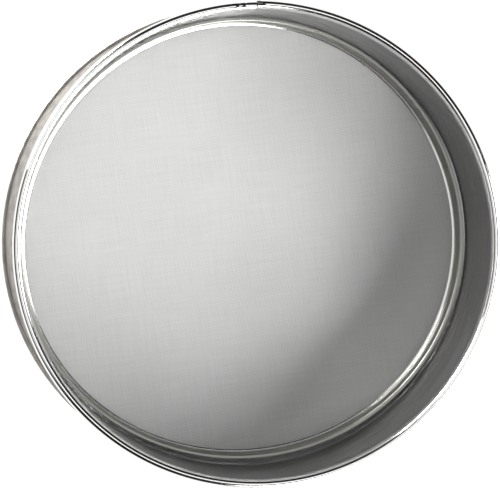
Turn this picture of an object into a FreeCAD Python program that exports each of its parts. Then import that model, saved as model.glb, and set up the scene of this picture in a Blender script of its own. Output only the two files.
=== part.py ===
import FreeCAD, Part
import math
import os

# Round soil sieve: a rolled sheet drum with woven wire cloth stretched across its foot.
#
# Millimetres. +Z is up and the sieve stands on z = 0 with its axis on the Z axis. Angles are
# degrees anticlockwise from +X seen from above, and the drum's lap seam is at about +Y.
#
# drum_wall    one strip of sheet: rim curled outward, wall tapering in to a waist, flared foot
#              that ends in a folded hem. Its two ends overlap in the lap seam.
# seam_welds   the spot welds that hold the lap seam.
# wire_cloth   the sieving mesh, with its edge turned up between the hoop and the drum.
# clamp_hoop   the sprung ring that wedges the cloth into the drum's waist.

# Drum: overall sizes.
RIM_RADIUS = 100.0          # outside of the curled rim
HEIGHT = 50.0
SHEET = 0.45
RIM_TUBE_DIAMETER = 3.5     # outside of the curl
RIM_CURL_TURN = 300.0       # the curl stops short of a full turn, so it stays open below

# Drum: wall, waist and foot.
WALL_TAPER = 2.0            # degrees that the wall leans inward going down
WAIST_HEIGHT = 13.5
WAIST_BEND_RADIUS = 8.0
FOOT_FLARE = 14.0           # degrees that the foot leans outward going down
FOOT_CORNER_RADIUS = 0.7
FOOT_RADIUS = 100.0         # outside of the hem
HEM_FOLD_RADIUS = 0.3
HEM_LEAF = 0.55             # length of the leaf that is folded back on the hem

# Drum: lap seam.
LAP_INNER_END = 91.3        # where the inner end of the strip stops
LAP_OUTER_END = 96.2        # where the outer end of the strip stops
LAP_GAP = 0.05              # between the two layers
HEM_START = 97.2            # the inner end has no hem up to here, where the outer end passes it
EASE_FROM = 40.0            # from here on the outer end runs on a slightly larger radius
CURL_OUTER_END = 90.9       # the outer end's curl stops here
CURL_INNER_END = 91.2       # the inner end's curl stops here, facing it across an open joint
CURL_ROOT_HEIGHT = 46.2     # where the curl joins the wall

# Slits in the top of the curl beside its joint, where the sheet was snipped to be curled.
SNIP_WIDTH = 0.75
SNIP_LENGTH = 2.6
SNIP_ANGLES = (94.2, 95.8)
SNIP_SLANT = 45.0
SNIP_RADIUS = 98.2
MOUTH_SLIT_WIDTH = 0.6
MOUTH_SLIT_LENGTH = 3.0

# Spot welds through the lap.
WELD_ANGLE = 93.7
WELD_HEIGHTS = (18.0, 27.0, 36.0, 43.0)
WELD_DIAMETER = 3.0
WELD_PROUD = 0.12

# Wire cloth: two crossing layers of fine wire, drawn as one closed skin.
CLOTH_THICKNESS = 0.52
CLOTH_HEIGHT = 4.0          # underside of the flat part
CLOTH_EDGE_RADIUS = 94.9    # middle of the turned-up edge
CLOTH_CORNER_RADIUS = 1.2
CLOTH_TOP = 13.1

# Clamping hoop.
HOOP_CLEARANCE = 0.05       # above the cloth
HOOP_TOP = 12.4
HOOP_LIP_RADIUS = 91.2      # inside of the rounded lip that presses on the cloth
HOOP_LIP_BEND = 0.45
HOOP_LIP_TURN = 150.0
HOOP_LEAN_BELOW = 2.0       # degrees that the web leans outward going up, below its crease
HOOP_LEAN_ABOVE = 6.0       # and above it
HOOP_CREASE_BEND = 3.0
HOOP_FLANGE_BEND = 0.5
HOOP_FLANGE_RISE = 4.0      # degrees that the flange still climbs outward
HOOP_FLANGE_RADIUS = 94.0   # outside of the top flange
HOOP_JOINT_ANGLE = 19.0
HOOP_JOINT_GAP = 0.15       # degrees

FULL_TURN = 360.0
Z_AXIS = FreeCAD.Vector(0, 0, 1)
ORIGIN = FreeCAD.Vector(0, 0, 0)


def sine(degrees):
    return math.sin(math.radians(degrees))


def cosine(degrees):
    return math.cos(math.radians(degrees))


def tangent(degrees):
    return math.tan(math.radians(degrees))


class BentStrip:
    """Cross-section of a bent sheet, drawn along its middle line in the radius-height plane.

    It starts at a point with a heading in degrees, where 0 is outward and 90 is up. Each move
    adds a straight run or a bend.
    """

    def __init__(self, radius, height, heading, sheet):
        self.radius = radius
        self.height = height
        self.heading = heading
        self.sheet = sheet
        self.left_edges = []
        self.right_edges = []

    def run(self, length):
        starts = self._face_points()
        self.radius += length * cosine(self.heading)
        self.height += length * sine(self.heading)
        ends = self._face_points()
        self.left_edges.append(Part.makeLine(starts[0], ends[0]))
        self.right_edges.append(Part.makeLine(starts[1], ends[1]))

    def run_to_height(self, height):
        self.run((height - self.height) / sine(self.heading))

    def run_to_radius(self, radius):
        self.run((radius - self.radius) / cosine(self.heading))

    def bend(self, bend_radius, degrees):
        """Bends to the left, or to the right if degrees is negative.

        The bend's radius is measured to the middle of the sheet.
        """
        side = math.copysign(bend_radius, degrees)
        centre_radius = self.radius - side * sine(self.heading)
        centre_height = self.height + side * cosine(self.heading)
        stations = [self._face_points()]
        for _ in range(2):
            self.heading += degrees / 2
            self.radius = centre_radius + side * sine(self.heading)
            self.height = centre_height - side * cosine(self.heading)
            stations.append(self._face_points())
        left, right = zip(*stations)
        self.left_edges.append(Part.Arc(*left).toShape())
        self.right_edges.append(Part.Arc(*right).toShape())

    def _face_points(self):
        """The points of the sheet's left and right faces where the strip has got to."""
        points = []
        for offset in (self.sheet / 2, -self.sheet / 2):
            radius = self.radius - offset * sine(self.heading)
            height = self.height + offset * cosine(self.heading)
            points.append(FreeCAD.Vector(radius, 0, height))
        return points

    def face(self):
        cut_ends = []
        for end in (0, -1):
            left = self.left_edges[end].Vertexes[end].Point
            right = self.right_edges[end].Vertexes[end].Point
            cut_ends.append(Part.makeLine(left, right))
        outline = self.left_edges + self.right_edges + cut_ends
        return Part.Face(Part.Wire(Part.__sortEdges__(outline)))


def turned(face, start, end):
    """The ring segment that a section sweeps about the Z axis between two angles."""
    placed = face.copy()
    placed.rotate(ORIGIN, Z_AXIS, start)
    return placed.revolve(ORIGIN, Z_AXIS, end - start)


def eased(face, end):
    """The segment from EASE_FROM to end, on a larger radius that leaves the ring smoothly.

    Where the lap's inner layer ends, it has moved outward by one sheet and the lap's gap.
    """
    shift = (SHEET + LAP_GAP) / (1 - cosine(LAP_INNER_END - EASE_FROM))
    centre = FreeCAD.Vector(-shift * cosine(EASE_FROM), -shift * sine(EASE_FROM), 0)
    wall_radius = RIM_RADIUS - RIM_TUBE_DIAMETER
    swept = (end - EASE_FROM) * wall_radius / (wall_radius + shift)
    placed = face.copy()
    placed.rotate(ORIGIN, Z_AXIS, EASE_FROM)
    return placed.revolve(centre, Z_AXIS, swept)


def curl_strip(curl_turn):
    """A strip that has curled round the rim, from its free edge to the top of the wall."""
    middle = (RIM_TUBE_DIAMETER - SHEET) / 2
    start = 180 - WALL_TAPER - curl_turn
    strip = BentStrip(
        RIM_RADIUS - RIM_TUBE_DIAMETER / 2 + middle * cosine(start),
        HEIGHT - RIM_TUBE_DIAMETER / 2 + middle * sine(start),
        start + 90,
        SHEET,
    )
    if curl_turn:
        strip.bend(middle, curl_turn)
    return strip


def curl_section():
    strip = curl_strip(RIM_CURL_TURN)
    strip.run_to_height(CURL_ROOT_HEIGHT)
    return strip.face()


def wall_section(with_hem):
    """The wall from under the curl down to the foot, with or without the folded hem."""
    top = curl_strip(0)
    drop = top.height - CURL_ROOT_HEIGHT
    strip = BentStrip(top.radius - drop * tangent(WALL_TAPER), CURL_ROOT_HEIGHT, 270 - WALL_TAPER, SHEET)
    strip.run_to_height(WAIST_HEIGHT)
    strip.bend(WAIST_BEND_RADIUS, WALL_TAPER + FOOT_FLARE)
    strip.run_to_height(SHEET / 2 + FOOT_CORNER_RADIUS * (1 - sine(FOOT_FLARE)))
    if with_hem:
        strip.bend(FOOT_CORNER_RADIUS, 90 - FOOT_FLARE)
        strip.run_to_radius(FOOT_RADIUS - SHEET / 2 - HEM_FOLD_RADIUS)
        strip.bend(HEM_FOLD_RADIUS, 180)
        strip.run(HEM_LEAF)
    return strip.face()


def slit(angle, radius, length, width, slant):
    """A cutter that opens the top of the curl. With no slant it runs along the rim."""
    depth = RIM_TUBE_DIAMETER / 2
    cutter = Part.makeBox(width, length, 2 * depth, FreeCAD.Vector(-width / 2, -length / 2, 0))
    cutter.rotate(ORIGIN, Z_AXIS, slant)
    cutter.translate(FreeCAD.Vector(radius, 0, HEIGHT - depth))
    cutter.rotate(ORIGIN, Z_AXIS, angle)
    return cutter


def weld_button(height, proud):
    """A short cylinder through both layers of the lap, standing proud of each."""
    below_curl = HEIGHT - RIM_TUBE_DIAMETER / 2 - height
    inside = RIM_RADIUS - RIM_TUBE_DIAMETER - below_curl * tangent(WALL_TAPER) - proud
    start = FreeCAD.Vector(inside * cosine(WELD_ANGLE), inside * sine(WELD_ANGLE), height)
    outward = FreeCAD.Vector(cosine(WELD_ANGLE), sine(WELD_ANGLE), 0)
    return Part.makeCylinder(WELD_DIAMETER / 2, 2 * (SHEET + LAP_GAP + proud), start, outward)


def drum_wall():
    hemmed = wall_section(True)
    plain = wall_section(False)
    curl = curl_section()
    ring = turned(hemmed, HEM_START, EASE_FROM + FULL_TURN)
    drum = ring.fuse([
        turned(plain, LAP_INNER_END, HEM_START),
        eased(hemmed, LAP_OUTER_END),
        turned(curl, CURL_INNER_END, EASE_FROM + FULL_TURN),
        eased(curl, CURL_OUTER_END),
    ])
    mouth_angle = CURL_OUTER_END - math.degrees(MOUTH_SLIT_LENGTH / 2 / SNIP_RADIUS)
    mouth_radius = SNIP_RADIUS + SHEET + LAP_GAP
    cutters = [slit(mouth_angle, mouth_radius, MOUTH_SLIT_LENGTH, MOUTH_SLIT_WIDTH, 0)]
    for angle in SNIP_ANGLES:
        cutters.append(slit(angle, SNIP_RADIUS, SNIP_LENGTH, SNIP_WIDTH, SNIP_SLANT))
    for height in WELD_HEIGHTS:
        cutters.append(weld_button(height, SHEET))
    return drum.cut(cutters).removeSplitter()


def seam_welds():
    return Part.makeCompound([weld_button(height, WELD_PROUD) for height in WELD_HEIGHTS])


def wire_cloth():
    """A flat disc with its edge turned up to stand between the hoop and the drum."""
    strip = BentStrip(0, CLOTH_HEIGHT + CLOTH_THICKNESS / 2, 0, CLOTH_THICKNESS)
    strip.run_to_radius(CLOTH_EDGE_RADIUS - CLOTH_CORNER_RADIUS)
    strip.bend(CLOTH_CORNER_RADIUS, 90)
    strip.run_to_height(CLOTH_TOP)
    return turned(strip.face(), 0, FULL_TURN)


def clamp_hoop():
    """A rounded lip that presses on the cloth, a creased web and a top flange.

    The section is drawn from the lip's free edge upward.
    """
    lip_face = HOOP_LIP_BEND + SHEET / 2
    start = 90 - HOOP_LEAN_BELOW - HOOP_LIP_TURN
    centre_radius = HOOP_LIP_RADIUS - lip_face * sine(start)
    centre_height = CLOTH_HEIGHT + CLOTH_THICKNESS + HOOP_CLEARANCE + lip_face
    strip = BentStrip(
        centre_radius + HOOP_LIP_BEND * sine(start),
        centre_height - HOOP_LIP_BEND * cosine(start),
        start,
        SHEET,
    )
    strip.bend(HOOP_LIP_BEND, HOOP_LIP_TURN)
    strip.run_to_height((CLOTH_HEIGHT + HOOP_TOP) / 2)
    strip.bend(HOOP_CREASE_BEND, HOOP_LEAN_BELOW - HOOP_LEAN_ABOVE)
    strip.run_to_height(HOOP_TOP - SHEET / 2 - HOOP_FLANGE_BEND)
    strip.bend(HOOP_FLANGE_BEND, HOOP_FLANGE_RISE + HOOP_LEAN_ABOVE - 90)
    strip.run_to_radius(HOOP_FLANGE_RADIUS)
    half_gap = HOOP_JOINT_GAP / 2
    return turned(strip.face(), HOOP_JOINT_ANGLE + half_gap, HOOP_JOINT_ANGLE + FULL_TURN - half_gap)


os.makedirs("parts", exist_ok=True)
for make_part in (drum_wall, seam_welds, wire_cloth, clamp_hoop):
    shape = make_part()
    shape.exportStep(f"parts/{make_part.__name__}.step")
    print(make_part.__name__, len(shape.Solids), "solids", shape.isValid(), round(shape.Volume), "mm3")
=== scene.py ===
import math

import bpy
import numpy as np
from mathutils import Matrix, Vector


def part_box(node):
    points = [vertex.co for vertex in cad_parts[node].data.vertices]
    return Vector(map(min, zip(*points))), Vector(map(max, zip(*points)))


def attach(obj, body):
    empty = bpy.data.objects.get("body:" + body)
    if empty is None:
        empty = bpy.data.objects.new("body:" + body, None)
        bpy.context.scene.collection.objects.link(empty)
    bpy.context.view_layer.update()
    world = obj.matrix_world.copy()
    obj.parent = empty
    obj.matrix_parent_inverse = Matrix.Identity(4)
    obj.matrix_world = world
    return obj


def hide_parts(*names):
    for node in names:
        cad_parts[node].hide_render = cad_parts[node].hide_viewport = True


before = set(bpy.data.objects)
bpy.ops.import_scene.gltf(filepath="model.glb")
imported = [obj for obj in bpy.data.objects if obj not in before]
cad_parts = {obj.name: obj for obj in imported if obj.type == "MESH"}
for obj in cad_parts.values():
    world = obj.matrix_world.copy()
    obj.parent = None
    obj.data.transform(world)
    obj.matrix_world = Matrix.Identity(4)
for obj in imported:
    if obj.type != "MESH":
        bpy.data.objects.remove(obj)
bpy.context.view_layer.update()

# Looks for the soil sieve: sheet drum, woven wire cloth and clamping hoop.
#
# Metres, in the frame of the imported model: +Z up, standing on z = 0, axis on the Z axis. Angles
# are degrees anticlockwise from +X seen from above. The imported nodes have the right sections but
# coarse meshes, so each is replaced by a finer mesh of the same section, a little out of round as
# thin sheet is, and the cloth by real wires.

MM = 0.001
FULL_TURN = 360.0

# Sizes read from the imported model.
rim_radius = -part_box("drum_wall")[0].x
rim_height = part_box("drum_wall")[1].z
cloth_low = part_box("wire_cloth")[0].z
hoop_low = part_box("clamp_hoop")[0].z
hoop_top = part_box("clamp_hoop")[1].z
hoop_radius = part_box("clamp_hoop")[1].y

# Drum section, as designed.
SHEET = 0.45 * MM
CURL_DIAMETER = 3.5 * MM
CURL_TURN = 300.0
CURL_ROOT_DEPTH = 3.8 * MM
WALL_TAPER = 2.0
WAIST_HEIGHT = 13.5 * MM
WAIST_BEND = 8.0 * MM
FOOT_FLARE = 14.0
FOOT_CORNER = 0.7 * MM
HEM_FOLD = 0.3 * MM
HEM_LEAF = 0.55 * MM

# Lap seam, as designed.
LAP_INNER_END = 91.3
LAP_OUTER_END = 96.2
LAP_GAP = 0.05 * MM
HEM_START = 97.2
EASE_FROM = 40.0
CURL_OUTER_END = 90.9
CURL_INNER_END = 91.2
SNIP_ANGLES = (94.2, 95.8)
SNIP_HALF_WIDTH = 0.35      # degrees round the drum
SNIP_CURL = (58.0, 118.0)   # where a snip is open, in degrees round the curl; 90 is its crest
SNIP_SKEW = 0.018           # degrees round the drum for each degree round the curl
SNIP_SKEWED = (92.3, 93.6, 96.4, 97.7)  # the skew comes in and goes out between these angles
MOUTH_SLITS = (             # degrees round the drum before the mouth, and degrees round the curl
    (1.1, 78.0, 98.0),
    (1.8, 88.0, 98.0),
    (0.7, 18.0, 48.0),
)

# A dimple knocked into the flared foot.
DIMPLE_ANGLE = 166.4
DIMPLE_HEIGHT = 7.6 * MM
DIMPLE_RADIUS = 0.35 * MM
DIMPLE_DEPTH = 0.25 * MM

# Spot welds through the lap.
WELD_ANGLE = 93.7
WELD_HEIGHTS = (18 * MM, 27 * MM, 36 * MM, 43 * MM)
WELD_DIAMETER = 3 * MM
WELD_PROUD = 0.12 * MM

# Hoop section, as designed.
HOOP_LIP_RADIUS = 91.2 * MM
HOOP_LIP_BEND = 0.45 * MM
HOOP_LIP_TURN = 150.0
HOOP_LEAN_BELOW = 2.0
HOOP_LEAN_ABOVE = 6.0
HOOP_CREASE_BEND = 3.0 * MM
HOOP_FLANGE_BEND = 0.5 * MM
HOOP_FLANGE_RISE = 4.0
HOOP_JOINT_ANGLE = 19.0
HOOP_JOINT_GAP = 0.15

# Wire cloth.
WIRE_PITCH = 0.635 * MM
WIRE_DIAMETER = 0.26 * MM
WARP_DIRECTION = 97.5
WIRE_STRAY = 0.03 * MM      # how far a wire lies from its even spacing
CLOTH_FLAT_RADIUS = 93.7 * MM
CLOTH_BEND = 1.2 * MM
CLOTH_SAG = 0.12 * MM
WIRE_STREAK = 45.0          # how much a wire's shade changes in a metre along it
BUNDLES = 4                 # pieces that each direction's wires are split into

# How far the thin drum and the sprung hoop are out of round.
DRUM_OVAL = 0.95 * MM
FOOT_SHIFT = (0.05 * MM, 0.26 * MM)
HOOP_SHIFT = (0.25 * MM, 1.0 * MM)
HOOP_OVAL = 1.16 * MM
HOOP_OVAL_SKEW = 0.44 * MM
HOOP_THREE_LOBE = 0.45 * MM
HOOP_SPRING = 1.1 * MM

BEND_STEP = 10.0            # degrees of bend between two points of a section
RING_STEP = 0.5             # degrees between two stations round a ring
FINE_STEP = 0.1             # and between two stations near the drum's seam
FINE_FROM = 87.2
FINE_TO = 100.2
SHARP_EDGE = math.radians(35)


def sine(degrees):
    return math.sin(math.radians(degrees))


def cosine(degrees):
    return math.cos(math.radians(degrees))


class Section:
    """Cross-section of a bent sheet, drawn along its middle line in the radius-height plane.

    It starts at a point with a heading in degrees, where 0 is outward and 90 is up.
    """

    def __init__(self, radius, height, heading):
        self.radius = radius
        self.height = height
        self.heading = heading
        self.stations = [(radius, height, heading)]

    def _mark(self):
        self.stations.append((self.radius, self.height, self.heading))

    def run(self, length, pieces=1):
        for _ in range(pieces):
            self.radius += length / pieces * cosine(self.heading)
            self.height += length / pieces * sine(self.heading)
            self._mark()

    def run_to_height(self, height, pieces=1):
        self.run((height - self.height) / sine(self.heading), pieces)

    def run_to_radius(self, radius, pieces=1):
        self.run((radius - self.radius) / cosine(self.heading), pieces)

    def bend(self, bend_radius, degrees):
        """Bends to the left, or to the right if degrees is negative."""
        side = math.copysign(bend_radius, degrees)
        centre_radius = self.radius - side * sine(self.heading)
        centre_height = self.height + side * cosine(self.heading)
        steps = max(2, round(abs(degrees) / BEND_STEP))
        for _ in range(steps):
            self.heading += degrees / steps
            self.radius = centre_radius + side * sine(self.heading)
            self.height = centre_height - side * cosine(self.heading)
            self._mark()

    def place(self):
        """The number of the station reached."""
        return len(self.stations) - 1

    def faces(self):
        """Radii and heights of the sheet's left face and of its right face, at each station."""
        radius, height, heading = np.array(self.stations).T
        across = SHEET / 2 * np.sin(np.radians(heading))
        along = SHEET / 2 * np.cos(np.radians(heading))
        return (radius - across, height + along), (radius + across, height - along)


def drum_section():
    """The drum's section from the mouth of its curl, and where its wall and its hem start."""
    middle = (CURL_DIAMETER - SHEET) / 2
    start = 180 - WALL_TAPER - CURL_TURN
    section = Section(
        rim_radius - CURL_DIAMETER / 2 + middle * cosine(start),
        rim_height - CURL_DIAMETER / 2 + middle * sine(start),
        start + 90,
    )
    section.bend(middle, CURL_TURN)
    section.run_to_height(rim_height - CURL_ROOT_DEPTH)
    wall = section.place()
    section.run_to_height(WAIST_HEIGHT, 12)
    section.bend(WAIST_BEND, WALL_TAPER + FOOT_FLARE)
    section.run_to_height(DIMPLE_HEIGHT + 3 * DIMPLE_RADIUS, 2)
    section.run_to_height(DIMPLE_HEIGHT - 3 * DIMPLE_RADIUS, 8)
    section.run_to_height(SHEET / 2 + FOOT_CORNER * (1 - sine(FOOT_FLARE)), 3)
    hem = section.place()
    section.bend(FOOT_CORNER, 90 - FOOT_FLARE)
    section.run_to_radius(rim_radius - SHEET / 2 - HEM_FOLD)
    section.bend(HEM_FOLD, 180)
    section.run(HEM_LEAF)
    return section, wall, hem


def hoop_section():
    lip_face = HOOP_LIP_BEND + SHEET / 2
    start = 90 - HOOP_LEAN_BELOW - HOOP_LIP_TURN
    section = Section(
        HOOP_LIP_RADIUS - lip_face * sine(start) + HOOP_LIP_BEND * sine(start),
        hoop_low + lip_face - HOOP_LIP_BEND * cosine(start),
        start,
    )
    section.bend(HOOP_LIP_BEND, HOOP_LIP_TURN)
    section.run_to_height((cloth_low + hoop_top) / 2, 2)
    section.bend(HOOP_CREASE_BEND, HOOP_LEAN_BELOW - HOOP_LEAN_ABOVE)
    section.run_to_height(hoop_top - SHEET / 2 - HOOP_FLANGE_BEND, 2)
    section.bend(HOOP_FLANGE_BEND, HOOP_FLANGE_RISE + HOOP_LEAN_ABOVE - 90)
    section.run_to_radius(hoop_radius)
    return section


def drum_spring(turn, heights):
    """How far the drum's sheet lies from its design radius, at an angle in radians."""
    foot_share = 1 - heights / rim_height
    shift = FOOT_SHIFT[0] * np.cos(turn) + FOOT_SHIFT[1] * np.sin(turn)
    return DRUM_OVAL * (np.cos(2 * turn) - 1) + foot_share * shift


def hoop_spring(turn, heights):
    """How far the hoop lies from its design radius, at an angle in radians."""
    shift = HOOP_SHIFT[0] * np.cos(turn) + HOOP_SHIFT[1] * np.sin(turn)
    oval = HOOP_OVAL * np.cos(2 * turn) + HOOP_OVAL_SKEW * np.sin(2 * turn)
    lobes = -HOOP_THREE_LOBE * np.sin(3 * turn)
    return shift + oval + lobes - HOOP_SPRING


def lap_shift(turn):
    """How far outward the strip has moved where it passes over its own inner end."""
    ease_start = math.radians(EASE_FROM + FULL_TURN)
    inner_end = math.radians(LAP_INNER_END + FULL_TURN)
    eased = (1 - np.cos(np.maximum(turn - ease_start, 0))) / (1 - math.cos(inner_end - ease_start))
    return (SHEET + LAP_GAP) * eased


def dimple(turn, heights):
    across = (turn - math.radians(DIMPLE_ANGLE)) * rim_radius
    apart = np.hypot(across, heights - DIMPLE_HEIGHT) / DIMPLE_RADIUS
    return -DIMPLE_DEPTH * np.exp(-apart ** 2)


def drum_offset(turn, heights):
    return drum_spring(turn, heights) + lap_shift(turn) + dimple(turn, heights)


def bent_sheet(section, turns, offset, present=None):
    """Vertices and quads of a sheet bent to a section and carried about Z.

    turns holds degrees, for each station of the section and each station round the ring. present
    marks the cells between them that hold metal.
    """
    angles = np.radians(turns)
    grids = []
    for radii, heights in section.faces():
        heights = np.repeat(heights[:, None], turns.shape[1], axis=1)
        radii = radii[:, None] + offset(angles, heights)
        grids.append(np.stack([radii * np.cos(angles), radii * np.sin(angles), heights], axis=-1))
    left = np.arange(turns.size).reshape(turns.shape)
    right = left + turns.size
    if present is None:
        present = np.ones((turns.shape[0] - 1, turns.shape[1] - 1), dtype=bool)
    cells = np.stack([left[:-1, :-1], left[1:, :-1], left[1:, 1:], left[:-1, 1:]], axis=-1)[present]
    quads = [cells, cells[:, ::-1] + turns.size]
    padded = np.pad(present.astype(int), 1)
    rises = padded[1:, 1:-1] - padded[:-1, 1:-1]
    steps = padded[1:-1, 1:] - padded[1:-1, :-1]
    every = slice(None)
    first = slice(None, -1)
    later = slice(1, None)
    for change, low, high in (
        (rises, (every, first), (every, later)),
        (-steps, (first, every), (later, every)),
    ):
        rim = np.stack([left[low], left[high], right[high], right[low]], axis=-1)
        quads.append(rim[change > 0])
        quads.append(rim[change < 0][:, ::-1])
    return np.concatenate(grids).reshape(-1, 3), np.concatenate(quads)


def quad_piece(name, points, quads, material, node):
    """One smooth object on the root body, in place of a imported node."""
    used = np.unique(quads)
    renumbered = np.zeros(len(points), dtype=int)
    renumbered[used] = np.arange(len(used))
    quads = renumbered[quads]
    mesh = bpy.data.meshes.new(name)
    mesh.vertices.add(len(used))
    mesh.vertices.foreach_set("co", points[used].astype(np.float32).ravel())
    mesh.loops.add(quads.size)
    mesh.loops.foreach_set("vertex_index", quads.astype(np.int32).ravel())
    mesh.polygons.add(len(quads))
    mesh.polygons.foreach_set("loop_start", np.arange(0, quads.size, 4, dtype=np.int32))
    mesh.update(calc_edges=True)
    mesh.shade_smooth()
    mesh.materials.append(material)
    piece = bpy.data.objects.new(name, mesh)
    bpy.context.scene.collection.objects.link(piece)
    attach(piece, "root")
    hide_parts(node)
    return piece


def between(values, low, high):
    return (values > low) & (values < high)


def make_drum(material):
    section, wall, hem = drum_section()
    turns = np.concatenate([
        np.arange(CURL_INNER_END, FINE_TO - FINE_STEP / 2, FINE_STEP),
        np.arange(FINE_TO, FINE_FROM + FULL_TURN - RING_STEP / 2, RING_STEP),
        np.arange(FINE_FROM, LAP_OUTER_END + FINE_STEP / 2, FINE_STEP) + FULL_TURN,
    ])
    stations = np.arange(len(section.stations))
    curl = np.where(stations <= wall, 180 - WALL_TAPER - CURL_TURN + stations * BEND_STEP, FULL_TURN)
    row = ((stations[:-1] + stations[1:]) / 2)[:, None]
    curl_middle = (curl[:-1] + BEND_STEP / 2)[:, None]
    turn = (turns[:-1] + turns[1:])[None, :] / 2

    on_curl = row < wall
    present = np.where(on_curl, turn < CURL_OUTER_END + FULL_TURN, turn > LAP_INNER_END)
    present &= (row < hem) | (turn > HEM_START)
    for angle in SNIP_ANGLES:
        present &= ~(between(curl_middle, *SNIP_CURL)
                     & between(turn, angle - SNIP_HALF_WIDTH, angle + SNIP_HALF_WIDTH))
    for length, low, high in MOUTH_SLITS:
        present &= ~(between(curl_middle, low, high) & (turn > CURL_OUTER_END + FULL_TURN - length))

    share = np.interp(turns, SNIP_SKEWED, (0, 1, 1, 0))[None, :]
    skew = SNIP_SKEW * np.clip(curl - 90, SNIP_CURL[0] - 90, SNIP_CURL[1] - 90)[:, None] * share
    points, quads = bent_sheet(section, turns[None, :] + skew, drum_offset, present)
    sheet = quad_piece("drum_sheet", points, quads, material, "drum_wall")
    sheet.data.set_sharp_from_angle(angle=SHARP_EDGE)


def make_hoop(material):
    section = hoop_section()
    ends = (HOOP_JOINT_ANGLE + HOOP_JOINT_GAP / 2, HOOP_JOINT_ANGLE + FULL_TURN - HOOP_JOINT_GAP / 2)
    turns = np.linspace(*ends, round(FULL_TURN / RING_STEP) + 1)
    turns = np.repeat(turns[None, :], len(section.stations), axis=0)
    points, quads = bent_sheet(section, turns, hoop_spring)
    sheet = quad_piece("hoop_ring", points, quads, material, "clamp_hoop")
    sheet.data.set_sharp_from_angle(angle=SHARP_EDGE)


NUGGET_SIDES = 20
NUGGET_WOBBLE = 0.04
NUGGET_PROFILE = (          # share of the radius, and height as a share of WELD_PROUD
    (1.0, -1.0),
    (1.0, 0.2),
    (0.93, 1.0),
    (0.75, 0.9),
    (0.55, 0.3),
    (0.30, 0.25),
)


def make_nuggets(material, random):
    """A pressed ring with a dished middle at each spot weld, on the drum's outer face."""
    section, wall, hem = drum_section()
    radii, heights = (values[wall:hem] for values in section.faces()[0])
    sides = np.arange(NUGGET_SIDES)
    around = sides / NUGGET_SIDES * math.tau
    onward = np.roll(sides, -1)
    band = np.stack([sides, onward, onward + NUGGET_SIDES, sides + NUGGET_SIDES], axis=-1)
    strip = np.arange(NUGGET_SIDES // 2 - 1)
    cap = np.stack([strip, strip + 1, NUGGET_SIDES - 2 - strip, NUGGET_SIDES - 1 - strip], axis=-1)
    points = []
    quads = []
    for weld_height in WELD_HEIGHTS:
        wobble = 1 + NUGGET_WOBBLE * random.standard_normal(NUGGET_SIDES)
        for share, proud in NUGGET_PROFILE:
            reach = WELD_DIAMETER / 2 * share * wobble
            high = weld_height + reach * np.sin(around)
            turn = math.radians(WELD_ANGLE + FULL_TURN) + reach * np.cos(around) / rim_radius
            radius = np.interp(-high, -heights, radii) + drum_offset(turn, high) + WELD_PROUD * proud
            points.append(np.stack([radius * np.cos(turn), radius * np.sin(turn), high], axis=-1))
        last = (len(points) - 1) * NUGGET_SIDES
        first = last - (len(NUGGET_PROFILE) - 1) * NUGGET_SIDES
        quads.extend(band + start for start in range(first, last, NUGGET_SIDES))
        quads.extend([cap[:, ::-1] + first, cap + last])
    points = np.concatenate(points)
    quad_piece("weld_nuggets", points, np.concatenate(quads), material, "seam_welds")


# Wire cloth. Each wire runs over and under the crossing wires, turns up beside the drum wall and
# ends there.

FRAY_TILT_MOST = 50.0       # a wire that meets the edge more slantwise than this isn't turned up
HIDDEN_FRAYS = (5.0, 62.0)  # between these angles the hoop lies so close that the ends stay below
COMBED_FRAYS = (68.0, 90.0)  # between these angles the ends lie over the hoop, all one way
COMBED_SWEEP = 0.8 * MM
SHORTEST_HIDDEN_TIP = 10.5 * MM


def cloth_edge_radius(turn, height):
    return CLOTH_FLAT_RADIUS + drum_spring(turn, height)


def cloth_level(x, y):
    """Height of the cloth's middle, which sags and ripples slightly."""
    inside = np.clip(1 - (x * x + y * y) / CLOTH_FLAT_RADIUS ** 2, 0, 1)
    ripple = np.sin(70 * x + 31 * y) + np.sin(90 * y - 43 * x + 1.3)
    return cloth_low + WIRE_DIAMETER - CLOTH_SAG * inside * (1 + 0.5 * ripple)


def reach_to_edge(origin, direction):
    """How far a line runs from its nearest point to the axis until it meets the cloth's edge."""
    offset = np.hypot(*origin)
    reach = math.sqrt(CLOTH_FLAT_RADIUS ** 2 - offset ** 2)
    for _ in range(3):
        x, y = origin + direction * reach
        edge = cloth_edge_radius(math.atan2(y, x), cloth_low)
        if edge <= offset:
            return 0.0
        reach = math.sqrt(edge ** 2 - offset ** 2)
    return reach


def turned_up_end(edge_point, direction, tip_height, lean, sweep):
    """Points of a wire's end from the cloth's edge up to its tip.

    Each point of the bend has its distance outward, its height and how far the wire has run.
    """
    x, y = edge_point
    turn = math.atan2(y, x)
    slant = math.atan2(direction[1], direction[0]) - turn
    slant = (slant + math.pi) % math.tau - math.pi
    if abs(math.degrees(slant)) > FRAY_TILT_MOST:
        return np.zeros((0, 3))
    level = cloth_low + WIRE_DIAMETER
    bend = [(CLOTH_BEND * math.sin(a), level + CLOTH_BEND * (1 - math.cos(a)), CLOTH_BEND * a)
            for a in np.radians((30, 60, 90))]
    top = bend[-1]
    middle_height = (top[1] + 2 * tip_height) / 3
    if tip_height > hoop_top + WIRE_DIAMETER:
        middle_height = max(middle_height, hoop_top)
    bend.append((top[0], middle_height, top[2] + middle_height - top[1]))
    bend.append((top[0] - lean, tip_height, top[2] + tip_height - top[1]))
    sweeps = (0, 0, 0, 0, sweep)
    points = []
    for (outward, height, travelled), swept in zip(bend, sweeps):
        here = turn + (math.tan(slant) * travelled + swept) / CLOTH_FLAT_RADIUS
        radius = cloth_edge_radius(here, height) + outward
        points.append((radius * math.cos(here), radius * math.sin(here), height))
    return np.array(points)


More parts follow.
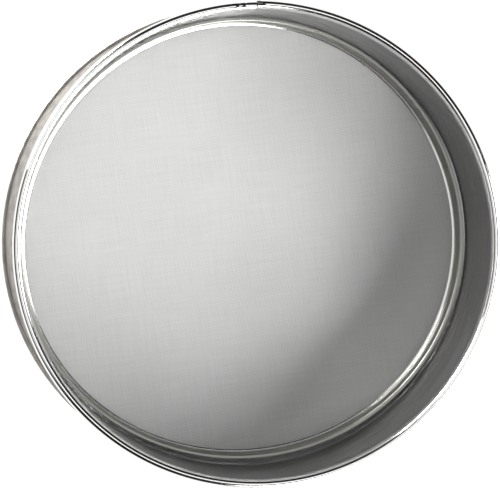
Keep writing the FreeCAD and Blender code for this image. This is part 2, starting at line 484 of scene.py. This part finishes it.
def tip(random, edge_point, odd):
    """How high a wire's end reaches, how far it leans in, and how far it leans round the ring."""
    turn = math.degrees(math.atan2(edge_point[1], edge_point[0])) % FULL_TURN
    if odd or HIDDEN_FRAYS[0] < turn < HIDDEN_FRAYS[1]:
        return SHORTEST_HIDDEN_TIP + random.random() * MM, 0.0, 0.0
    if COMBED_FRAYS[0] < turn < COMBED_FRAYS[1]:
        return hoop_top + random.uniform(0.9, 1.3) * MM, random.uniform(1.2, 1.6) * MM, COMBED_SWEEP
    return hoop_top + random.uniform(-0.5, 2.2) * MM, random.uniform(-0.1, 0.7) * MM, 0.0


def tube(line):
    """Vertices of a four-sided wire along a line of points."""
    ahead = np.gradient(line, axis=0)
    ahead /= np.linalg.norm(ahead, axis=1)[:, None]
    flat = ahead.copy()
    flat[:, 2] = 0
    middle = flat[len(flat) // 2]
    side = np.cross([0, 0, 1.0], middle)
    side = side - (ahead @ side)[:, None] * ahead
    side /= np.linalg.norm(side, axis=1)[:, None]
    top = np.cross(ahead, side)
    corners = np.stack([side, top, -side, -top], axis=1)
    return line[:, None, :] + WIRE_DIAMETER / 2 * corners


def wire_pieces(name, direction, phase, material, random):
    """The wires of one direction. phase is 1 or -1, opposite for the two crossing directions."""
    along = np.array([cosine(direction), sine(direction)])
    across = np.array([-along[1], along[0]]) * phase
    count = int(2 * CLOTH_FLAT_RADIUS / WIRE_PITCH)
    grid = (np.arange(count) - (count - 1) / 2) * WIRE_PITCH
    for bundle in range(BUNDLES):
        points = []
        faces = []
        for i in range(bundle * count // BUNDLES, (bundle + 1) * count // BUNDLES):
            origin = across * (grid[i] + random.normal(0, WIRE_STRAY))
            ends = [reach_to_edge(origin, sign * along) for sign in (-1, 1)]
            stops = grid[(grid > -ends[0]) & (grid < ends[1])]
            if len(stops) < 4:
                continue
            flat = origin + along * stops[:, None]
            weave = phase * (-1.0) ** (np.round((stops - grid[0]) / WIRE_PITCH) + i)
            heights = cloth_level(flat[:, 0], flat[:, 1]) + WIRE_DIAMETER / 2 * weave
            line = np.column_stack([flat, heights])
            for sign, reach in ((-1, ends[0]), (1, ends[1])):
                edge_point = origin + sign * along * reach
                end = turned_up_end(edge_point, sign * along, *tip(random, edge_point, i % 2))
                line = np.concatenate([end[::-1], line] if sign < 0 else [line, end])
            wire = tube(line).reshape(-1, 3)
            here = np.arange(4)
            quad = np.stack([here, np.roll(here, -1), np.roll(here, -1) + 4, here + 4], axis=-1)
            sides = (np.arange(len(line) - 1)[:, None, None] * 4 + quad).reshape(-1, 4)
            caps = np.array([here[::-1], here + 4 * (len(line) - 1)])
            base = sum(len(lot) for lot in points)
            points.append(wire)
            faces.append(np.concatenate([sides, caps]) + base)
        points = np.concatenate(points)
        faces = np.concatenate(faces)
        quad_piece(f"{name}_{bundle + 1}", points, faces, material, "wire_cloth")


# Materials. Their patterns are worked out from object coordinates, in metres.

RING_GRAIN = 2600.0         # lines of rolled grain in a metre across the sheet
RING_GRAIN_STRETCH = 10.0   # how much the grain changes in a metre along it
BLOTCH_SCALE = 28.0         # patches in a metre
HOOP_BLOTCH_SCALE = BLOTCH_SCALE * 1.6
WIRE_BLOTCH_SCALE = 16.0
WELD_BLOTCH_SCALE = 900.0
SCRATCH_SCALE = 240.0
DRAWN_SCALE = 9000.0
BEAD_FADE = (3.9 * MM, 3.3 * MM)    # below the rim, where the wall changes to the bright bead
FOOT_FADE = (3 * MM, 2 * MM)        # below and above the waist, where the wall changes to the foot
HEM_FADE = (0.6 * MM, 1.1 * MM)     # above the ground, where the hem changes to the foot
PAINTED_CURL_SHADE_FADE = (1.3 * MM, 1.5 * MM)  # from the curl's middle, where the painted shade inside the curl ends
LIP_FADE = (0.7 * MM, 1.0 * MM)     # above the hoop's lowest point, where its bright lip ends


class Metal:
    """A metal whose colour, roughness and relief come from patterns."""

    def __init__(self, name):
        self.material = bpy.data.materials.new(name)
        self.material.use_nodes = True
        self.tree = self.material.node_tree
        self.shader = self.tree.nodes["Principled BSDF"]
        self.shader.inputs["Metallic"].default_value = 1
        self.place = self.add("ShaderNodeTexCoord").outputs["Object"]
        parts = self.add("ShaderNodeSeparateXYZ", {"Vector": self.place})
        self.height = parts.outputs["Z"]
        flat = self.add("ShaderNodeVectorMath", {0: self.place, 1: (1, 1, 0)}, operation="MULTIPLY")
        length = self.add("ShaderNodeVectorMath", {0: flat.outputs["Vector"]}, operation="LENGTH")
        self.radius = length.outputs["Value"]
        self.toward_seam = parts.outputs["Y"]

    def add(self, kind, inputs=None, **settings):
        """Adds a node, with a value or the socket to link for each input named."""
        node = self.tree.nodes.new(kind)
        for name, value in settings.items():
            setattr(node, name, value)
        for name, value in (inputs or {}).items():
            if isinstance(value, bpy.types.NodeSocket):
                self.tree.links.new(value, node.inputs[name])
            else:
                node.inputs[name].default_value = value
        return node

    def sum(self, first, second):
        return self.add("ShaderNodeMath", {0: first, 1: second}, operation="ADD").outputs[0]

    def times(self, first, second):
        return self.add("ShaderNodeMath", {0: first, 1: second}, operation="MULTIPLY").outputs[0]

    def noise(self, place, scale, detail):
        inputs = {"Vector": place, "Scale": scale, "Detail": detail}
        return self.add("ShaderNodeTexNoise", inputs).outputs["Fac"]

    def spread(self, value, low, high, to_low, to_high):
        """Maps a range of values smoothly onto another."""
        inputs = {"Value": value, "From Min": low, "From Max": high, "To Min": to_low, "To Max": to_high}
        return self.add("ShaderNodeMapRange", inputs, interpolation_type="SMOOTHSTEP").outputs["Result"]

    def blend(self, share, first, second):
        node = self.add("ShaderNodeMix", data_type="RGBA")
        sockets = (node.inputs[0], node.inputs[6], node.inputs[7])
        for socket, value in zip(sockets, (share, first, second)):
            if isinstance(value, bpy.types.NodeSocket):
                self.tree.links.new(value, socket)
            else:
                socket.default_value = value if socket.type == "VALUE" else (*value, 1)
        return node.outputs[2]

    def ring_grain(self):
        """Rolled grain that runs round the sieve."""
        stretched = self.add(
            "ShaderNodeVectorMath",
            {0: self.place, 1: (RING_GRAIN_STRETCH, RING_GRAIN_STRETCH, 0)},
            operation="MULTIPLY",
        )
        across = self.times(self.sum(self.height, self.radius), RING_GRAIN)
        lift = self.add("ShaderNodeCombineXYZ", {"Z": across})
        inputs = {0: stretched.outputs["Vector"], 1: lift.outputs["Vector"]}
        place = self.add("ShaderNodeVectorMath", inputs, operation="ADD")
        return self.noise(place.outputs["Vector"], 1.0, 3.0)

    def curl_depth(self):
        """Distance from the middle of the rim's curl, which follows the drum's oval."""
        inputs = {0: self.toward_seam, 1: self.radius}
        share = self.add("ShaderNodeMath", inputs, operation="DIVIDE").outputs[0]
        squeeze = self.times(self.times(share, share), 2 * DRUM_OVAL)
        middle = rim_radius - CURL_DIAMETER / 2 + LAP_GAP + SHEET / 2
        out = self.sum(self.sum(self.radius, squeeze), -middle)
        up = self.sum(self.height, CURL_DIAMETER / 2 - rim_height)
        apart = self.add("ShaderNodeCombineXYZ", {"X": out, "Y": up})
        length = self.add("ShaderNodeVectorMath", {0: apart.outputs["Vector"]}, operation="LENGTH")
        return length.outputs["Value"]

    def finish(self, colour, roughness, relief, relief_depth):
        bump = self.add("ShaderNodeBump", {"Height": relief, "Distance": relief_depth, "Strength": 1.0})
        self.tree.links.new(colour, self.shader.inputs["Base Color"])
        self.tree.links.new(roughness, self.shader.inputs["Roughness"])
        self.tree.links.new(bump.outputs["Normal"], self.shader.inputs["Normal"])
        return self.material


def drum_material():
    """Rolled tinned steel: bright on the rim bead, grained on the wall, stained on the foot.

    The inside of the curl is painted near-black and rough: painted shade for the closed curl, so the snips
    and the mouth show dark.
    """
    metal = Metal("drum_sheet")
    grain = metal.ring_grain()
    blotch = metal.noise(metal.place, BLOTCH_SCALE, 3.0)
    scratch = metal.noise(metal.place, SCRATCH_SCALE, 4.0)
    bead = metal.spread(metal.height, rim_height - BEAD_FADE[0], rim_height - BEAD_FADE[1], 0.0, 1.0)
    worn = metal.spread(scratch, 0.58, 0.72, 0.0, 1.0)
    wall = metal.blend(grain, (0.24, 0.24, 0.245), (0.31, 0.31, 0.31))
    wall = metal.blend(metal.spread(blotch, 0.35, 0.7, 0.0, 0.5), wall, (0.26, 0.25, 0.235))
    wall = metal.blend(metal.times(worn, 0.2), wall, (0.36, 0.36, 0.35))
    foot_ends = (WAIST_HEIGHT - FOOT_FADE[0], WAIST_HEIGHT + FOOT_FADE[1])
    foot = metal.spread(metal.height, *foot_ends, 0.6, 0.0)
    stain = metal.spread(scratch, 0.42, 0.62, 0.0, 1.0)
    stained = metal.blend(stain, (0.40, 0.37, 0.33), (0.26, 0.24, 0.215))
    wall = metal.blend(foot, wall, stained)
    hem = metal.spread(metal.height, *HEM_FADE, 1.0, 0.0)
    wall = metal.blend(hem, wall, (0.8, 0.79, 0.77))
    colour = metal.blend(bead, wall, (0.85, 0.84, 0.83))
    # Painted shade: the inside of the rim's curl is painted near-black, as if the light can't reach into
    # it.
    painted_curl_shade = metal.spread(metal.curl_depth(), *PAINTED_CURL_SHADE_FADE, 1.0, 0.0)
    colour = metal.blend(painted_curl_shade, colour, (0.05, 0.05, 0.05))
    wall_roughness = metal.sum(metal.spread(grain, 0.3, 0.7, 0.24, 0.36), metal.times(worn, 0.06))
    wall_roughness = metal.blend(foot, wall_roughness, (0.6, 0.6, 0.6))
    wall_roughness = metal.blend(hem, wall_roughness, (0.55, 0.55, 0.55))
    roughness = metal.blend(bead, wall_roughness, (0.1, 0.1, 0.1))
    roughness = metal.blend(painted_curl_shade, roughness, (0.8, 0.8, 0.8))
    return metal.finish(colour, roughness, metal.sum(grain, metal.times(scratch, 0.3)), 0.006 * MM)


def hoop_material():
    """Duller brushed steel, brighter where the cloth's edge has rubbed it."""
    metal = Metal("hoop_sheet")
    grain = metal.ring_grain()
    blotch = metal.noise(metal.place, HOOP_BLOTCH_SCALE, 4.0)
    plain = metal.blend(grain, (0.28, 0.28, 0.26), (0.38, 0.38, 0.355))
    plain = metal.blend(metal.spread(blotch, 0.4, 0.7, 0.0, 0.6), plain, (0.36, 0.355, 0.32))
    lip = metal.spread(metal.height, hoop_low + LIP_FADE[0], hoop_low + LIP_FADE[1], 1.0, 0.0)
    colour = metal.blend(lip, plain, (0.85, 0.85, 0.83))
    dull = metal.sum(metal.spread(grain, 0.3, 0.7, 0.24, 0.34), metal.times(blotch, 0.08))
    roughness = metal.blend(lip, dull, (0.14, 0.14, 0.14))
    return metal.finish(colour, roughness, grain, 0.008 * MM)


def wire_material():
    """Drawn wire, each strand a little lighter or darker than the next."""
    metal = Metal("wire_mesh")
    turn = (0, 0, math.radians(-WARP_DIRECTION))
    turned = metal.add("ShaderNodeMapping", {"Vector": metal.place, "Rotation": turn})
    streaks = []
    for stretch in ((WIRE_STREAK, 1 / WIRE_PITCH, 0), (1 / WIRE_PITCH, WIRE_STREAK, 0)):
        inputs = {0: turned.outputs["Vector"], 1: stretch}
        lines = metal.add("ShaderNodeVectorMath", inputs, operation="MULTIPLY")
        streaks.append(metal.noise(lines.outputs["Vector"], 1.0, 1.0))
    strand = metal.times(metal.sum(*streaks), 0.5)
    blotch = metal.noise(metal.place, WIRE_BLOTCH_SCALE, 2.0)
    shade = metal.spread(strand, 0.3, 0.7, 0.0, 1.0)
    plain = metal.blend(shade, (0.745, 0.745, 0.73), (0.815, 0.815, 0.805))
    colour = metal.blend(metal.spread(blotch, 0.35, 0.7, 0.0, 0.35), plain, (0.70, 0.70, 0.69))
    roughness = metal.spread(strand, 0.3, 0.7, 0.46, 0.34)
    drawn = metal.noise(metal.place, DRAWN_SCALE, 1.0)
    return metal.finish(colour, roughness, drawn, 0.002 * MM)


def weld_material():
    """Spot welds: a burnished face with straw and blue heat colours."""
    metal = Metal("weld_nuggets")
    blotch = metal.noise(metal.place, WELD_BLOTCH_SCALE, 3.0)
    colour = metal.blend(metal.spread(blotch, 0.35, 0.6, 0.0, 1.0), (0.30, 0.29, 0.31), (0.42, 0.36, 0.28))
    roughness = metal.spread(blotch, 0.3, 0.7, 0.28, 0.5)
    return metal.finish(colour, roughness, blotch, 0.03 * MM)


drum_metal = drum_material()
hoop_metal = hoop_material()
wire_metal = wire_material()
weld_metal = weld_material()

make_drum(drum_metal)
make_hoop(hoop_metal)
random = np.random.default_rng(7)
make_nuggets(weld_metal, random)
wire_pieces("warp_wires", WARP_DIRECTION, 1, wire_metal, random)
wire_pieces("weft_wires", WARP_DIRECTION - 90, -1, wire_metal, random)

# Floor, light and camera. Outside the sieve the floor gives off some light of its own and is less
# bright under the lamps, so that it stays white in the sieve's shadow and doesn't glare on the drum.
FLOOR_SIDE = 6.0
FLOOR_GLOW = 0.85
FLOOR_SHADE_INSIDE = 0.85
FLOOR_SHADE_OUTSIDE = 0.2
FLOOR_GLOW_FROM = 0.097
FLOOR_GLOW_FULL = 0.100
floor_mesh = bpy.data.meshes.new("floor")
floor_half = FLOOR_SIDE / 2
floor_corners = [(x * floor_half, y * floor_half, 0) for x, y in ((-1, -1), (1, -1), (1, 1), (-1, 1))]
floor_mesh.from_pydata(floor_corners, [], [(0, 1, 2, 3)])
floor = bpy.data.objects.new("floor", floor_mesh)
bpy.context.scene.collection.objects.link(floor)
floor_material = bpy.data.materials.new("floor")
floor_material.use_nodes = True
floor_nodes = floor_material.node_tree.nodes
floor_links = floor_material.node_tree.links
floor_shader = floor_nodes["Principled BSDF"]
floor_shader.inputs["Roughness"].default_value = 0.9
floor_shader.inputs["Specular IOR Level"].default_value = 0
floor_shader.inputs["Emission Color"].default_value = (1, 1, 1, 1)
where = floor_nodes.new("ShaderNodeNewGeometry")
distance = floor_nodes.new("ShaderNodeVectorMath")
distance.operation = "LENGTH"
floor_links.new(where.outputs["Position"], distance.inputs[0])
for socket, inside, outside in (("Emission Strength", 0, FLOOR_GLOW),
                                ("Base Color", FLOOR_SHADE_INSIDE, FLOOR_SHADE_OUTSIDE)):
    ramp = floor_nodes.new("ShaderNodeMapRange")
    ramp.interpolation_type = "SMOOTHSTEP"
    ramp.inputs["From Min"].default_value = FLOOR_GLOW_FROM
    ramp.inputs["From Max"].default_value = FLOOR_GLOW_FULL
    ramp.inputs["To Min"].default_value = inside
    ramp.inputs["To Max"].default_value = outside
    floor_links.new(distance.outputs["Value"], ramp.inputs["Value"])
    floor_links.new(ramp.outputs["Result"], floor_shader.inputs[socket])
floor_mesh.materials.append(floor_material)

# The walls of the room are pale just above the floor, and it is dark above them.
ROOM_WALL = 1.0
ROOM_DARK = 0.02
ROOM_FADES_FROM = 8.0       # degrees above the horizon
ROOM_FADES_TO = 14.0
world = bpy.data.worlds.new("studio")
world.use_nodes = True
world_nodes = world.node_tree.nodes
world_links = world.node_tree.links
world_nodes["Background"].inputs["Color"].default_value = (1, 1, 1, 1)
direction = world_nodes.new("ShaderNodeTexCoord")
direction_parts = world_nodes.new("ShaderNodeSeparateXYZ")
fade = world_nodes.new("ShaderNodeMapRange")
fade.inputs["From Min"].default_value = sine(ROOM_FADES_FROM)
fade.inputs["From Max"].default_value = sine(ROOM_FADES_TO)
fade.inputs["To Min"].default_value = ROOM_WALL
fade.inputs["To Max"].default_value = ROOM_DARK
world_links.new(direction.outputs["Generated"], direction_parts.inputs["Vector"])
world_links.new(direction_parts.outputs["Z"], fade.inputs["Value"])
world_links.new(fade.outputs["Result"], world_nodes["Background"].inputs["Strength"])
bpy.context.scene.world = world


def area_light(name, azimuth, elevation, distance, width, height, power):
    """A soft panel that faces the origin, with its width level. Power is in watts."""
    data = bpy.data.lights.new(name, "AREA")
    data.shape = "RECTANGLE"
    data.size = width
    data.size_y = height
    data.energy = power
    light = bpy.data.objects.new(name, data)
    away = Vector((cosine(elevation) * cosine(azimuth), cosine(elevation) * sine(azimuth), sine(elevation)))
    light.location = away * distance
    light.rotation_euler = away.to_track_quat("Z", "Y").to_euler()
    bpy.context.scene.collection.objects.link(light)


LIGHTS = [                  # name, azimuth, elevation, distance, width, height and power
    ("window", -36, 30, 1.2, 1.8, 0.9, 61),
    ("low fill", 132, 10, 1.2, 0.6, 0.3, 36),
    ("fill", 145, 27, 1.2, 0.5, 0.4, 6),
    ("left", 170, 60, 1.2, 1.4, 0.6, 2.2),
    ("top", 0, 89.9, 1.2, 0.6, 0.6, 1.5),
]
for settings in LIGHTS:
    area_light(*settings)

# The camera looks down from a little to the left. Its up direction is +Y.
CAMERA_DISTANCE = 1.0
CAMERA_TILT = 11.09
CAMERA_AZIMUTH = 167.5
CAMERA_LENS = 179.1
CAMERA_AIM = (-4.41 * MM, 0.48 * MM)

camera_data = bpy.data.cameras.new("camera")
camera_data.lens = CAMERA_LENS
camera = bpy.data.objects.new("camera", camera_data)
flat_part = sine(CAMERA_TILT)
back = Vector((flat_part * cosine(CAMERA_AZIMUTH), flat_part * sine(CAMERA_AZIMUTH), cosine(CAMERA_TILT)))
right = Vector((0, 1, 0)).cross(back).normalized()
up = back.cross(right)
aim = Vector((0, 0, rim_height - CURL_DIAMETER / 2)) + right * CAMERA_AIM[0] + up * CAMERA_AIM[1]
camera.location = aim + back * CAMERA_DISTANCE
camera.rotation_mode = "QUATERNION"
camera.rotation_quaternion = Matrix((right, up, back)).transposed().to_quaternion()
bpy.context.scene.collection.objects.link(camera)
bpy.context.scene.camera = camera
bpy.context.scene.view_settings.view_transform = "Standard"
